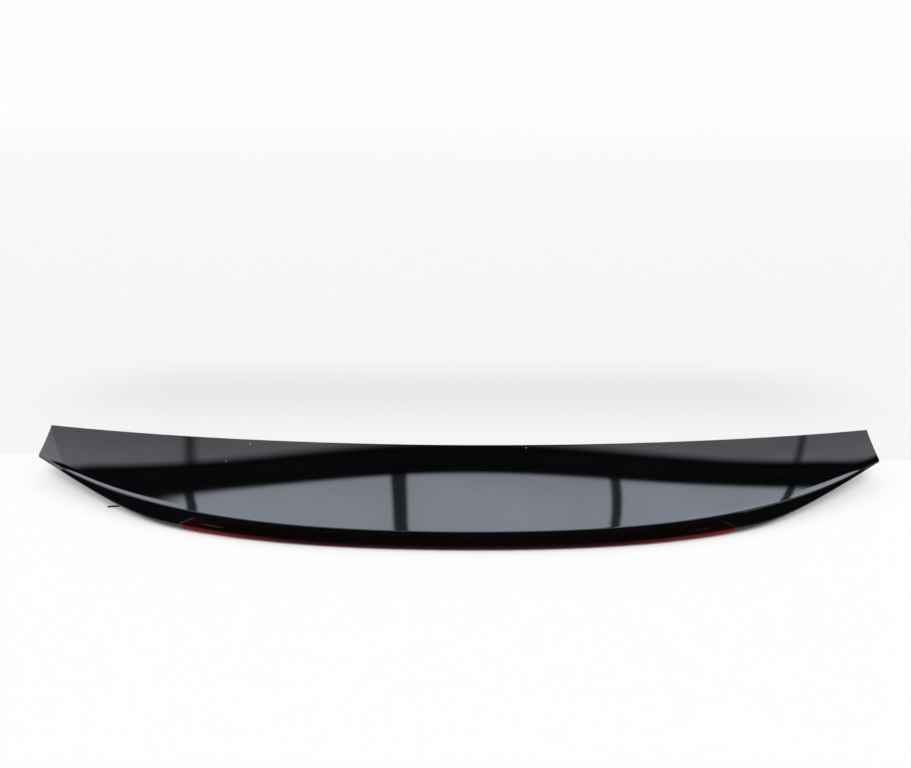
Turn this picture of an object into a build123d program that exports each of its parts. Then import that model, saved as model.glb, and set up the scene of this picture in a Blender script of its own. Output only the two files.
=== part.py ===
from build123d import *
import math
import os

# Car rear spoiler: gloss black skin over a closing shell, with a long brake lamp in the rear face.
# X runs across the car, +Y is forward (leading edge), -Y is rearward (lamp), +Z is up.
# Z = 0 is the plane it rests on: the lower rear lip and the tips of the mounting studs.
# s is the place across the span, -1 at the left tip and 1 at the right tip.
# u is the place along the top of a section, 0 at the leading edge and 1 at the crease.

# Plan of the top surface
span = 1200.0                # tip to tip
chord = 182.0                # leading edge to crease on the centre line
corner_inset = 3.0           # leading corners stand this far in from the tips
lead_sweep = 45.5            # leading edge, tips ahead of the centre, with s^4
crease_sweep_2 = 90.5        # crease line, ahead of its centre, with s^2
crease_sweep_4 = 141.0       # and with s^4
crease_sweep_6 = -47.1       # and with s^6

# Heights of the top surface
lead_height = 58.7           # leading edge on the centre line
lead_rise_2 = 27.0           # its rise with s^2
lead_rise_4 = -19.0          # and with s^4
crease_height = 24.2         # crease on the centre line
crease_rise_2 = 9.9          # its rise with s^2
crease_rise_4 = 4.0          # and with s^4
sag = 4.5                    # hollow of the top below its chord, on the centre line
sag_2 = 1.5                  # its change with s^2
sag_4 = -4.6                 # and with s^4
sag_skew = 0.29              # the hollow lies a little towards the leading edge
lip_reach = 12.0             # the top turns up over this run before the crease
lip_rise_4 = 1.35            # by this much at the crease, with s^4
crease_round = 1.6           # reach of the rounding each side of the crease

# Rear face, lower roll and edges
face_tilt = 21.8             # degrees from upright, leaning forward at the top
face_tilt_2 = 5.0            # its change with s^2
roll_radius = 7.3            # lower roll on the centre line
roll_least = 0.3             # and towards the tips
roll_fade = 0.70             # s where it is half way between
roll_fade_power = 8
lift_start = 0.66            # s where the lower edge leaves the table
lift_blend = 0.07            # how softly it does
lift_bow = 0.6               # how far its climb bows upwards
tip_edge = 3.0               # height of the rear face at the tips
nose = 5.0                   # height of the front edge

# Skin
skin_wall = 3.0
top_fall = 10.0              # degrees, usual fall of the top to the rear
flange = 12.0                # lower flange ahead of the roll, on the centre line
front_strip = 14.0           # solid strip behind the leading edge
inner_round = 0.8            # least rounding inside the foot of the rear face
hollow_end = 0.80            # s where the solid tips begin
seat_gap = 0.3               # between pieces that seat on each other
fit_gap = 0.3                # round the lens

# Lower shell
shell_wall = 2.5
shell_end = 0.796            # s where the shell ends
shell_lap = 3.5              # its rear edge, ahead of the foot of the roll
shell_belly = 0.50           # first control point: share of the way forward
shell_belly_rise = 0.03      # and share of the height
shell_knee = 0.95            # second control point, where the front wall turns up
shell_knee_rise = 0.36
belly_fade = 6               # power of s with which the belly fades out
belly_left = 0.1             # share of it left at the shell's ends
wall_lean = 0.8              # inside of the front wall, back per height
margin_back = 1.0            # front margin starts this far behind the front strip
margin_front = 1.5           # and ends this far behind the leading edge
rib_wall = 2.0
rib_gap = 0.4                # between rib and skin
rib_pitch = 110.0
rib_count = 8
rib_rear = 38.0              # ribs start this far ahead of the crease
rib_front = 22.0             # and end this far behind the leading edge
spine_share = 0.36           # lengthwise rib, place along the top
spine_end = 0.76             # s where it ends
rib_room_end = 0.78          # s where the room for ribs ends

# Brake lamp
lens_half = 355.0            # to the points at the lens ends
lens_point_height = 11.5     # height of those points
lens_rake_up = 2.1           # how fast the ends lean in above the point
lens_rake_down = 1.15        # and below it
lens_lip = 7.0               # black lip between crease and lens
lens_wall = 2.5
lens_foot = 75.0             # degrees below level where the lens ends in the roll
window_depth = 4.2           # cut for the lens, through the skin's wall
lamp_half = 336.0            # housing, to its ends
lamp_wall = 1.5
lamp_depth = 22.0            # housing back, ahead of the crease
lamp_drop = 8.0              # housing top, down the face from the crease
lamp_floor = 8.2             # housing bottom above the lower edge
diffuser_ahead = 13.0        # diffuser bar, from the housing's back
diffuser_thick = 2.5
board_thick = 1.2
diode_count = 26
diode_pitch = 25.0
diode_width = 3.5
diode_thick = 1.4
diode_height = 3.0
foam_near = 6.0              # packing on the housing, ahead of the crease
foam_far = 16.0
lamp_tabs = (300.0, 105.0)   # screw tabs on the housing, off the centre line
tab_reach = 12.0
tab_width = 12.0
tab_thick = 2.0
lamp_screw_radius = 1.75
lamp_screw_head = 3.4
lamp_screw_head_thick = 1.8
lamp_screw_length = 5.0
lamp_boss_radius = 4.5

# Mounting studs
inner_stud_x = 150.0
outer_stud_x = 400.0
inner_stud_back = 62.0       # behind the leading edge
outer_stud_back = 50.0
stud_radius = 3.0
shoulder_radius = 3.6        # plain shank through boss and seal
stud_head_radius = 8.0
stud_head_thick = 2.4
stud_point = 0.8             # chamfer at the tip
boss_radius = 12.0
boss_drop = 1.0              # level seat below the shell
boss_floor = 3.0             # plastic under the stud's head
hole_gap = 0.15              # radial, round studs and screws
seal_ring_radius = 11.0
seal_ring_thick = 3.0

# Shell screws, clips, seals and buffers
screw_count = 10
screw_pitch = 100.0
screw_back = 10.5            # behind the leading edge
screw_radius = 1.75
screw_head_radius = 3.3
screw_head_thick = 1.8
screw_bite = 3.2             # length in the front strip
clip_x = 432.0
clip_back = 36.0             # behind the leading edge
clip_radius = 3.2
clip_barb = 1.3              # barbs stand this far out of the stem
clip_barb_pitch = 3.5
clip_barb_height = 2.8
clip_barb_count = 4
clip_disc_radius = 8.0
clip_disc_thick = 1.6
clip_boss_radius = 9.0
seal_width = 4.0             # front seal
seal_height = 4.0
seal_back = 2.0              # its front side, behind the leading edge
seal_end = 0.78
tape_width = 12.0            # bonding tape under the tips
tape_thick = 1.2
tape_start = 0.86
tape_end = 0.985
tape_share = 0.5             # place between the flange and the front edge
tape_runs = 20               # straight runs that follow the underside
buffer_x = 240.0
buffer_ahead = 66.0          # ahead of the crease
buffer_radius = 8.0
buffer_foot_radius = 6.0
buffer_boss_radius = 9.5
buffer_floor = 1.0           # foot above the table

# Lamp lead: grommet in the shell, and the free lead's route on the table to its bare end
lead_diameter = 2.2
lead_drop = 5.2              # first run, square out of the grommet
grommet_x = -290.0
grommet_y = 4.0
grommet_radius = 5.5
grommet_neck = 3.4
grommet_lip = 1.8
socket_width = 12.0
socket_reach = 8.0
lead_route = [
    (-294.0, 5.8, 3.2),
    (-302.0, 6.0, 1.3),
    (-315.0, 6.4, 1.2),
    (-338.0, 9.0, 1.2),
    (-372.0, 9.5, 1.2),
    (-408.0, 2.0, 1.2),
    (-442.0, -4.8, 1.2),
    (-471.5, -10.1, 1.2),
]

arc_share = 0.45             # of the shorter run beside a bend, taken by its arc
inner_lead_out = [(0, 0), (10, 0), (24, 2)]                # ahead of the socket's face, and above
inner_lead_down = [(16, 9), (4.5, 10), (0, 5.5), (0, 0)]     # behind the grommet, and above its inner lip

half_span = span / 2
skin_drop = skin_wall / math.cos(math.radians(top_fall))    # the wall measured straight down


def even(s, *terms):
    """Even polynomial: terms in s^2, s^4, s^6."""
    return sum(term * s ** (2 * n + 2) for n, term in enumerate(terms))


def lead_z(s):
    return lead_height + even(s, lead_rise_2, lead_rise_4)


def crease_z(s):
    return crease_height + even(s, crease_rise_2, crease_rise_4)


def low_z(s):
    """Lower edge: flat on the table, then a hyperbola that climbs to the tip."""
    def climb(p):
        return math.hypot(p - lift_start, lift_blend) + p - lift_start
    share = (climb(abs(s)) - climb(0)) / (climb(1) - climb(0))
    return (share + lift_bow * share * (1 - share)) * (crease_z(1) - tip_edge)


def tilt(s):
    return math.radians(face_tilt + even(s, face_tilt_2))


def rear_share(s):
    """Height of the rear against that on the centre line."""
    return (crease_z(s) - low_z(s)) / crease_height


def roll(s):
    """Radius of the lower roll, in step with the height of the rear and nearly sharp at the tips."""
    share = rear_share(s) / (1 + (s / roll_fade) ** roll_fade_power)
    return roll_least + (roll_radius - roll_least) * share


def face_length(s):
    """Length of the rear face from the crease to the start of the roll."""
    drop = crease_z(s) - low_z(s) - roll(s) * (1 + math.sin(tilt(s)))
    return drop / math.cos(tilt(s))


rearmost = -face_length(0) * math.sin(tilt(0)) + roll(0) * math.cos(tilt(0)) - roll(0)
foremost = chord + lead_sweep * (1 - corner_inset / half_span) ** 4
y_shift = -(rearmost + foremost) / 2    # centres the part front to back


def lead_y(s):
    return chord + even(s, 0, lead_sweep) + y_shift


def crease_y(s):
    return even(s, crease_sweep_2, crease_sweep_4, crease_sweep_6) + y_shift


def section_chord(s):
    return lead_y(s) - crease_y(s)


def sweep_angle(s):
    """Turn of the crease line from straight across, in degrees."""
    step = 0.001
    return math.degrees(math.atan2(crease_y(s + step) - crease_y(s - step), 2 * step * half_span))


def place(s, y, z):
    return Vector(s * half_span, y, z)


def on_face(s, down, depth):
    """Point at a distance down the rear face and a depth behind it, as (y, z)."""
    a = tilt(s)
    y = crease_y(s) - down * math.sin(a) + depth * math.cos(a)
    z = crease_z(s) - down * math.cos(a) - depth * math.sin(a)
    return y, z


def roll_centre(s):
    return on_face(s, face_length(s), roll(s))


def on_roll(s, angle, depth):
    """Point on the roll at an angle above level, at a depth under its surface, as (y, z)."""
    y, z = roll_centre(s)
    r = roll(s) - depth
    return y - r * math.cos(angle), z + r * math.sin(angle)


def lip_rise(s):
    return even(s, 0, lip_rise_4)


def top_drop(s):
    """Fall of the top from the leading edge to the crease, without the lip."""
    return lead_z(s) - crease_z(s) + lip_rise(s)


def top_z(s, u):
    """Top of a section ahead of the lip: a straight chord less a skewed parabola."""
    hollow = sag + even(s, sag_2, sag_4)
    dip = 4 * u * (1 - u) * (1 + sag_skew * (1 - 2 * u))
    return lead_z(s) - top_drop(s) * u - hollow * dip


def top_slope(s, u):
    """Rate of top_z with u."""
    hollow = sag + even(s, sag_2, sag_4)
    dip = 4 * (1 - 2 * u) * (1 + sag_skew * (1 - 2 * u)) - 8 * sag_skew * u * (1 - u)
    return -top_drop(s) - hollow * dip


def lip_start(s):
    return 1 - lip_reach / section_chord(s)


def lip_z(s, u):
    """Top of a section in the lip: turned up by a parabola."""
    return top_z(s, u) + lip_rise(s) * ((u - lip_start(s)) / (1 - lip_start(s))) ** 2


def lip_slope(s, u):
    """Rate of lip_z with u."""
    return top_slope(s, u) + lip_rise(s) * 2 * (u - lip_start(s)) / (1 - lip_start(s)) ** 2


def top_at(s, y):
    """Height of the top above a place y."""
    return top_z(s, (lead_y(s) - y) / section_chord(s))


def top_edge(s, u0, u1, drop=0.0, height=top_z, slope=top_slope):
    """The top from u0 to u1, lowered by drop: an exact cubic."""
    third = (u1 - u0) / 3
    heights = (
        height(s, u0),
        height(s, u0) + third * slope(s, u0),
        height(s, u1) - third * slope(s, u1),
        height(s, u1),
    )
    points = []
    for n, z in enumerate(heights):
        y = lead_y(s) - section_chord(s) * (u0 + n * third)
        points.append(place(s, y, z - drop))
    return Bezier(*points)


def roll_edge(s, start, end, depth):
    """Arc along the roll between two angles."""
    return ThreePointArc(*[place(s, *on_roll(s, a, depth)) for a in (start, (start + end) / 2, end)])


def foot_radius(s):
    """Rounding inside the foot of the rear face: the roll less the wall, and never sharp."""
    spare = (roll(s) - skin_wall) / 2
    return spare + math.hypot(spare, inner_round)


def foot_centre(s):
    depth = skin_wall + foot_radius(s)
    down = (crease_z(s) - low_z(s) - depth * (1 + math.sin(tilt(s)))) / math.cos(tilt(s))
    return on_face(s, down, depth)


def on_foot(s, angle):
    """Point on the inside foot at an angle above level."""
    y, z = foot_centre(s)
    return place(s, y - foot_radius(s) * math.cos(angle), z + foot_radius(s) * math.sin(angle))


def flange_y(s):
    """Front end of the lower flange."""
    return foot_centre(s)[0] + flange * rear_share(s)


def under_z(s, y):
    """Underside of tips and front strip: straight from the flange to the front edge."""
    share = (y - flange_y(s)) / (lead_y(s) - flange_y(s))
    return low_z(s) + share * (lead_z(s) - nose - low_z(s))


def closed_face(edges, points):
    """Face from edges, with straight lines through the points back to the start."""
    chain = [edges[-1] @ 1, *points, edges[0] @ 0]
    lines = [Line(a, b) for a, b in zip(chain, chain[1:]) if (a - b).length > 1e-6]
    return Face(Wire([*edges, *lines]))


def block(corners):
    """Profile of straight lines, from a function that gives its corners at s."""
    def profile(s):
        return Face(Wire.make_polygon([place(s, *c) for c in corners(s)]))
    return profile


def carried(profile, end, count):
    """Solid of a profile carried from -end to end, closer towards the ends."""
    return loft([profile(-end * math.cos(math.pi * n / (count - 1))) for n in range(count)])


def post(x, y, radius, z0, z1):
    return Pos(x, y, (z0 + z1) / 2) * Cylinder(radius, z1 - z0)


def mirrored(places):
    """Places given on the right, with their twins on the left."""
    return [(side * x, y) for x, y in places for side in (-1, 1)]


def outer_profile(s):
    reach = min(crease_round, face_length(s) / 3)
    top = top_edge(s, 0, lip_start(s))
    lip = top_edge(s, lip_start(s), 1 - crease_round / section_chord(s), 0.0, lip_z, lip_slope)
    face_start = place(s, *on_face(s, reach, 0))
    crease = Bezier(lip @ 1, place(s, crease_y(s), crease_z(s)), face_start)
    face = Line(face_start, place(s, *on_face(s, face_length(s), 0)))
    foot = roll_edge(s, tilt(s), -math.pi / 2, 0)
    flange_end = place(s, flange_y(s), low_z(s))
    front_foot = place(s, lead_y(s), lead_z(s) - nose)
    return closed_face([top, lip, crease, face, foot], [flange_end, front_foot])


def hollow_profile(s):
    """Inside of the skin, open downwards between the flange and the front strip."""
    wall_y, _ = on_face(s, 0, skin_wall)
    rear_y = wall_y - (skin_drop - skin_wall * math.sin(tilt(s))) * math.tan(tilt(s))
    top = top_edge(s, front_strip / section_chord(s), (lead_y(s) - rear_y) / section_chord(s), skin_drop)
    wall = Line(top @ 1, on_foot(s, tilt(s)))
    foot = ThreePointArc(*[on_foot(s, a) for a in (tilt(s), tilt(s) / 2 - math.pi / 4, -math.pi / 2)])
    floor = low_z(s) - skin_wall
    corners = [
        place(s, flange_y(s), low_z(s) + skin_wall),
        place(s, flange_y(s), floor),
        place(s, lead_y(s) - front_strip, floor),
    ]
    return closed_face([top, wall, foot], corners)


def band_profile(down, depth, foot_angle):
    """Strip of the rear face and roll, from outside the surface to a depth under it."""
    proud = skin_wall

    def profile(s):
        inner = Line(place(s, *on_face(s, down, depth)), place(s, *on_face(s, face_length(s), depth)))
        inner_roll = roll_edge(s, tilt(s), -foot_angle, depth)
        outer_roll = roll_edge(s, -foot_angle, tilt(s), -proud)
        step = Line(inner_roll @ 1, outer_roll @ 0)
        return closed_face([inner, inner_roll, step, outer_roll], [place(s, *on_face(s, down, -proud))])
    return profile


def lens_ends(gap):
    """Upright prism whose pointed ends trim the lens or its window."""
    reach = lens_half + gap
    above = 2 * lens_point_height
    below = -lens_point_height / 2
    high_x = reach - (above - lens_point_height) * lens_rake_up
    low_x = reach - (lens_point_height - below) * lens_rake_down
    right = [(low_x, below), (reach, lens_point_height), (high_x, above)]
    left = [(-x, z) for x, z in reversed(right)]
    outline = make_face(Polyline(*right, *left, close=True))
    return extrude(Plane.XZ * outline, half_span, both=True)


def make_body():
    """The whole outer form, solid, with its leading corners trimmed back."""
    body = carried(outer_profile, 1, 29)
    tip_y = crease_y(1)
    reach = section_chord(1) + nose
    inset = corner_inset * reach / section_chord(1)
    wedge = [(half_span, tip_y), (half_span + nose, tip_y)]
    wedge += [(half_span + nose, tip_y + reach), (half_span - inset, tip_y + reach)]
    trim = extrude(make_face(Polyline(*wedge, close=True)), 2 * lead_height)
    return body - trim - mirror(trim, about=Plane.YZ)


def make_skin_and_lens():
    body = make_body()
    hollow = carried(hollow_profile, hollow_end, 23)
    end = (lens_half + 2 * fit_gap) / half_span
    foot = math.radians(lens_foot)
    lens_band = carried(band_profile(lens_lip + fit_gap, lens_wall, foot), end, 9)
    window_band = carried(band_profile(lens_lip, window_depth, foot + fit_gap / roll_radius), end, 9)
    lens = body & lens_band & lens_ends(0)
    skin = body - hollow - (window_band & lens_ends(fit_gap))
    depth = shell_wall + seat_gap + screw_bite + seat_gap
    pilot = Pos(0, 0, -depth / 2) * Cylinder(screw_radius + seat_gap / 4, depth)
    return skin - [at * pilot for at in screw_places()], lens


def shell_points(s):
    """Control points of the shell's underside and the front end of its margin, as (y, z)."""
    y0, z0 = foot_centre(s)[0] + shell_lap, low_z(s) + skin_wall + seat_gap
    y3 = lead_y(s) - front_strip - margin_back
    y4 = lead_y(s) - margin_front
    z3, z4 = (under_z(s, y) - seat_gap - shell_wall for y in (y3, y4))
    flat = (1 - belly_left) * (s / shell_end) ** belly_fade
    points = [(y0, z0)]
    for along, up in ((shell_belly, shell_belly_rise), (shell_knee, shell_knee_rise)):
        rise = up + (along - up) * flat
        points.append((y0 + along * (y3 - y0), z0 + rise * (z3 - z0)))
    return [*points, (y3, z3), (y4, z4)]


def raised(s, lift):
    """The shell's points moved up by lift, and back where its front wall is steep."""
    back = wall_lean * lift
    p0, p1, (y2, z2), (y3, _), p4 = shell_points(s)
    p3 = y3 - back, under_z(s, y3 - back) - seat_gap - shell_wall
    return [(y, z + lift) for y, z in (p0, p1, (y2 - back, z2), p3, p4)]


def shell_profile(s):
    low = [place(s, *p) for p in shell_points(s)]
    high = [place(s, *p) for p in raised(s, shell_wall)]
    margin = [Line(low[3], low[4]), Line(low[4], high[4]), Line(high[4], high[3])]
    return closed_face([Bezier(*low[:4]), *margin, Bezier(*reversed(high[:4]))], [])


def rib_room(s):
    """Room between the middle of the shell and the skin, less a gap, which the ribs fill."""
    points = [place(s, *p) for p in raised(s, shell_wall / 2)[:4]]
    floor = Bezier(*points)
    u_front, u_rear = ((lead_y(s) - p.Y) / section_chord(s) for p in (points[3], points[0]))
    roof = top_edge(s, u_front, u_rear, skin_drop + rib_gap)
    return closed_face([floor, Line(floor @ 1, roof @ 0), roof], [])


def spine_corners(s):
    """Upright plate along the span, at one share of the way along the top."""
    y = lead_y(s) - spine_share * section_chord(s)
    return [(y, 0), (y + rib_wall, 0), (y + rib_wall, lead_z(s)), (y, lead_z(s))]


def shell_z(x, y):
    """Underside of the shell at a place."""
    curve = Bezier(*[Vector(0, *p) for p in shell_points(x / half_span)[:4]])
    near, far = 0.0, 1.0
    for _ in range(40):
        middle = (near + far) / 2
        near, far = (middle, far) if (curve @ middle).Y < y else (near, middle)
    return (curve @ near).Z


def seat_below(x, y, radius, drop=boss_drop):
    """Height of a level seat under the shell, clear of it all round a place."""
    return min(shell_z(x, y + d) for d in (-radius, 0, radius)) - drop


def crown_above(x, y, radius):
    """Highest point of the shell's inside round a place."""
    return max(shell_z(x, y + d) for d in (-radius, 0, radius)) + shell_wall


def inner_stud_places():
    return mirrored([(inner_stud_x, lead_y(inner_stud_x / half_span) - inner_stud_back)])


def outer_stud_places():
    return mirrored([(outer_stud_x, lead_y(outer_stud_x / half_span) - outer_stud_back)])


def stud_places():
    return inner_stud_places() + outer_stud_places()


def clip_places():
    return mirrored([(clip_x, lead_y(clip_x / half_span) - clip_back)])


def buffer_places():
    return mirrored([(buffer_x, crease_y(buffer_x / half_span) + buffer_ahead)])


def tab_places():
    """Centres of the lamp's screw tabs."""
    middle = lamp_depth + tab_reach / 2
    return mirrored([(x, crease_y(x / half_span) + middle) for x in lamp_tabs])


def tab_floor(x):
    return low_z(x / half_span) + lamp_floor


def margin_z(x, y):
    """Underside of the shell's front margin."""
    (y3, z3), (y4, z4) = shell_points(x / half_span)[3:]
    return z3 + (z4 - z3) * (y - y3) / (y4 - y3)


def facing_down(height, x, y):
    """Place on an underside given by its height, with +Z square out of it."""
    step = 1.0
    across = (height(x + step, y) - height(x - step, y)) / (2 * step)
    along = (height(x, y + step) - height(x, y - step)) / (2 * step)
    return Plane((x, y, height(x, y)), x_dir=(1, 0, across), z_dir=(across, along, -1)).location


def screw_places():
    """Shell screws on the underside of the front margin."""
    across = [(n - (screw_count - 1) / 2) * screw_pitch for n in range(screw_count)]
    return [facing_down(margin_z, x, lead_y(x / half_span) - screw_back) for x in across]


def grommet_place():
    return facing_down(shell_z, grommet_x, grommet_y)


def make_ribs():
    room = carried(rib_room, rib_room_end, 19)
    plates = []
    for n in range(rib_count):
        x = (n - (rib_count - 1) / 2) * rib_pitch
        s = x / half_span
        y0, y1 = crease_y(s) + rib_rear, lead_y(s) - rib_front
        plates.append(Pos(x, (y0 + y1) / 2, lead_height / 2) * Box(rib_wall, y1 - y0, 2 * lead_height))
    spine = carried(block(spine_corners), spine_end, 15)
    return [room & plate for plate in (*plates, spine)]


def make_lower_shell():
    shell = carried(shell_profile, shell_end, 23)
    shell += make_ribs()
    pockets, holes = [], []
    for x, y in stud_places():
        seat, crown = seat_below(x, y, boss_radius), crown_above(x, y, boss_radius)
        shell += post(x, y, boss_radius, seat, crown)
        pockets.append(post(x, y, stud_head_radius + hole_gap, seat + boss_floor, lead_height))
        holes.append(post(x, y, shoulder_radius + hole_gap, 0, lead_height))
    for x, y in clip_places():
        seat, crown = seat_below(x, y, clip_boss_radius), crown_above(x, y, clip_boss_radius)
        shell += post(x, y, clip_boss_radius, seat, crown)
    for x, y in buffer_places():
        seat, crown = seat_below(x, y, buffer_boss_radius), shell_z(x, y) + shell_wall / 2
        shell += post(x, y, buffer_boss_radius, seat, crown)
    for x, y in tab_places():
        shell += post(x, y, lamp_boss_radius, shell_z(x, y) + shell_wall / 2, tab_floor(x) - seat_gap)
        holes.append(post(x, y, lamp_screw_radius + hole_gap, 0, tab_floor(x)))
    depth = shell_wall + seat_gap
    for at in screw_places():
        holes.append(at * Cylinder(screw_radius + hole_gap, 3 * depth))
    holes.append(grommet_place() * Cylinder(grommet_neck + hole_gap, 4 * shell_wall))
    return shell - pockets - holes


def lamp_corners(s):
    """Housing's outside: along the lens at the rear, then a level top, the back and the floor."""
    depth = lens_wall + seat_gap
    top = on_face(s, lamp_drop, depth)
    bend = on_face(s, face_length(s), depth)
    floor = low_z(s) + lamp_floor
    centre_y, centre_z = roll_centre(s)
    heel = centre_y - math.sqrt((roll(s) - depth) ** 2 - (floor - centre_z) ** 2)
    back = crease_y(s) + lamp_depth
    return [top, (back, top[1]), (back, floor), (heel, floor), bend]


def lamp_room(s):
    """Housing's inside, open towards the lens."""
    top, (back, _), _, (heel, floor), _ = lamp_corners(s)
    roof, mouth, wall = top[1] - lamp_wall, heel - lens_wall, back - lamp_wall
    return [(mouth, roof), (wall, roof), (wall, floor + lamp_wall), (mouth, floor + lamp_wall)]


def bar_corners(ahead, thick):
    """Upright bar in the housing, its front side at a distance from the housing's back wall."""
    def corners(s):
        _, (back, roof), (_, floor), _ = lamp_room(s)
        y, low, high = back - ahead, floor + seat_gap, roof - seat_gap
        return [(y - thick, low), (y, low), (y, high), (y - thick, high)]
    return corners


def foam_corners(s):
    """Packing between the housing's top and the skin."""
    y0, y1 = crease_y(s) + foam_near, crease_y(s) + foam_far
    low = lamp_corners(s)[0][1] + seat_gap
    high0, high1 = (top_at(s, y) - skin_drop - seat_gap for y in (y0, y1))
    return [(y0, low), (y1, low), (y1, high1), (y0, high0)]


def make_housing():
    housing = carried(block(lamp_corners), lamp_half / half_span, 9)
    housing -= carried(block(lamp_room), (lamp_half - lamp_wall) / half_span, 9)
    for x, y in tab_places():
        length = tab_reach + lamp_wall
        turn = Location((x, y, tab_floor(x) + tab_thick / 2), (0, 0, sweep_angle(x / half_span)))
        housing += turn * Pos(0, -lamp_wall / 2, 0) * Box(tab_width, length, tab_thick)
        housing -= post(x, y, lamp_screw_radius + hole_gap, 0, lead_height)
    housing += make_socket()
    return housing


def socket_place():
    """Middle of the socket's face, with +Y pointing out of it."""
    s = grommet_x / half_span
    _, (back, roof), (_, floor), _ = lamp_room(s)
    on_wall = Location((grommet_x, back + lamp_wall, (roof + floor) / 2), (0, 0, sweep_angle(s)))
    return on_wall * Pos(0, socket_reach, 0)


def make_socket():
    """Short socket on the housing's back where the lead plugs in."""
    s = grommet_x / half_span
    _, (_, roof), (_, floor), _ = lamp_room(s)
    length = socket_reach + lamp_wall / 2
    return socket_place() * Pos(0, -length / 2, 0) * Box(socket_width, length, roof - floor)


def make_diodes():
    diodes = []
    for n in range(diode_count):
        x = (n - (diode_count - 1) / 2) * diode_pitch
        s = x / half_span
        _, (back, roof), (_, floor), _ = lamp_room(s)
        turn = math.radians(sweep_angle(s))
        lean = board_thick + seat_gap + (diode_thick / 2 + seat_gap) / math.cos(turn)
        spot = Location((x, back - lean, (roof + floor) / 2), (0, 0, sweep_angle(s)))
        diodes.append(spot * Box(diode_width, diode_thick, diode_height))
    return diodes


def lamp_screw(x, y):
    seat = tab_floor(x) + tab_thick
    head = post(x, y, lamp_screw_head, seat, seat + lamp_screw_head_thick)
    return head + post(x, y, lamp_screw_radius, seat - lamp_screw_length, seat)


def stud(x, y):
    """Stud with a flat head held in its boss and a shoulder; the tip stands on the table."""
    seat = seat_below(x, y, boss_radius)
    shoulder_z, head_z = seat - seal_ring_thick, seat + boss_floor
    shank = chamfer(post(x, y, stud_radius, 0, shoulder_z).edges().sort_by(Axis.Z)[0], stud_point)
    shank += post(x, y, shoulder_radius, shoulder_z, head_z)
    return shank + post(x, y, stud_head_radius, head_z, head_z + stud_head_thick)


def stud_seal(x, y):
    seat = seat_below(x, y, boss_radius)
    ring = post(x, y, seal_ring_radius, seat - seal_ring_thick, seat)
    return ring - post(x, y, shoulder_radius + hole_gap, 0, seat)


def shell_screw(at):
    length = shell_wall + seat_gap + screw_bite
    head = at * Pos(0, 0, hole_gap + screw_head_thick / 2) * Cylinder(screw_head_radius, screw_head_thick)
    return head + at * Pos(0, 0, (hole_gap - length) / 2) * Cylinder(screw_radius, length + hole_gap)


def push_clip(x, y):
    """Flat disc on the boss and a stem with barbs, pointing down."""
    seat = seat_below(x, y, clip_boss_radius)
    under = -clip_disc_thick
    outline = [(0, 0), (clip_disc_radius, 0), (clip_disc_radius, under), (clip_radius, under)]
    z = under - clip_barb_pitch / 2
    for _ in range(clip_barb_count):
        outline += [(clip_radius, z), (clip_radius + clip_barb, z), (clip_radius, z - clip_barb_height)]
        z -= clip_barb_pitch
    outline += [(clip_radius / 2, z - clip_radius / 2), (0, z - clip_radius / 2)]
    profile = make_face(Plane.XZ * Polyline(*outline, close=True))
    return Pos(x, y, seat) * revolve(profile, Axis.Z)


def seal_profile(s):
    """Front seal: flat against the margin, round below."""
    (y3, z3), (y4, z4) = shell_points(s)[3:]
    slope = (z4 - z3) / (y4 - y3)
    y1 = lead_y(s) - seal_back
    y0 = y1 - seal_width
    a, b = (place(s, y, z3 + slope * (y - y3) - seat_gap) for y in (y0, y1))
    belly = place(s, (y0 + y1) / 2, (a.Z + b.Z) / 2 - seal_height)
    return closed_face([ThreePointArc(a, belly, b)], [])


def tape_corners(s):
    middle = flange_y(s) + tape_share * (lead_y(s) - flange_y(s))
    y0, y1 = middle - tape_width / 2, middle + tape_width / 2
    z0, z1 = under_z(s, y0) - seat_gap, under_z(s, y1) - seat_gap
    return [(y0, z0), (y0, z0 - tape_thick), (y1, z1 - tape_thick), (y1, z1)]


def make_tapes():
    step = (tape_end - tape_start) / tape_runs
    profile = block(tape_corners)
    right = loft([profile(tape_start + n * step) for n in range(tape_runs + 1)], ruled=True)
    return [mirror(right, about=Plane.YZ), right]


def rubber_buffer(x, y):
    height = seat_below(x, y, buffer_boss_radius) - buffer_floor
    return Pos(x, y, buffer_floor + height / 2) * Cone(buffer_foot_radius, buffer_radius, height)


def make_grommet():
    """Rubber bush moulded round the lead, with a lip each side of the shell."""
    lip = Cylinder(grommet_radius, grommet_lip)
    outer = Pos(0, 0, grommet_lip / 2 + seat_gap) * lip
    inner = Pos(0, 0, -shell_wall - seat_gap - grommet_lip / 2) * lip
    length = shell_wall + 2 * seat_gap + 2 * grommet_lip
    neck = Pos(0, 0, -shell_wall / 2) * Cylinder(grommet_neck, length)
    return grommet_place() * (outer + inner + neck)


def tube(points, name):
    """Round lead on straight runs joined by the largest arcs that fit."""
    runs = [b - a for a, b in zip(points, points[1:])]
    radii = []
    for before, after in zip(runs, runs[1:]):
        turn = math.radians(before.get_angle(after))
        radii.append(arc_share * min(before.length, after.length) / math.tan(turn / 2))
    path = FilletPolyline(*points, radius=radii)
    section = Plane(path @ 0, z_dir=path % 0) * Circle(lead_diameter / 2)
    solid = sweep(section, path)
    ideal = math.pi * lead_diameter ** 2 / 4 * path.length
    print(name, "length", round(path.length, 1), "volume ratio", round(solid.volume / ideal, 4))
    print(name, "radii", [round(r, 1) for r in radii])
    return solid


def make_lead():
    """Free lead: starts in the middle of the grommet's outer lip."""
    lip = grommet_place() * Pos(0, 0, grommet_lip + seat_gap)
    out = [lip.position, (lip * Pos(0, 0, lead_drop)).position]
    return tube([*out, *[Vector(*p) for p in lead_route]], "brake_lamp_lead")


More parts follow.
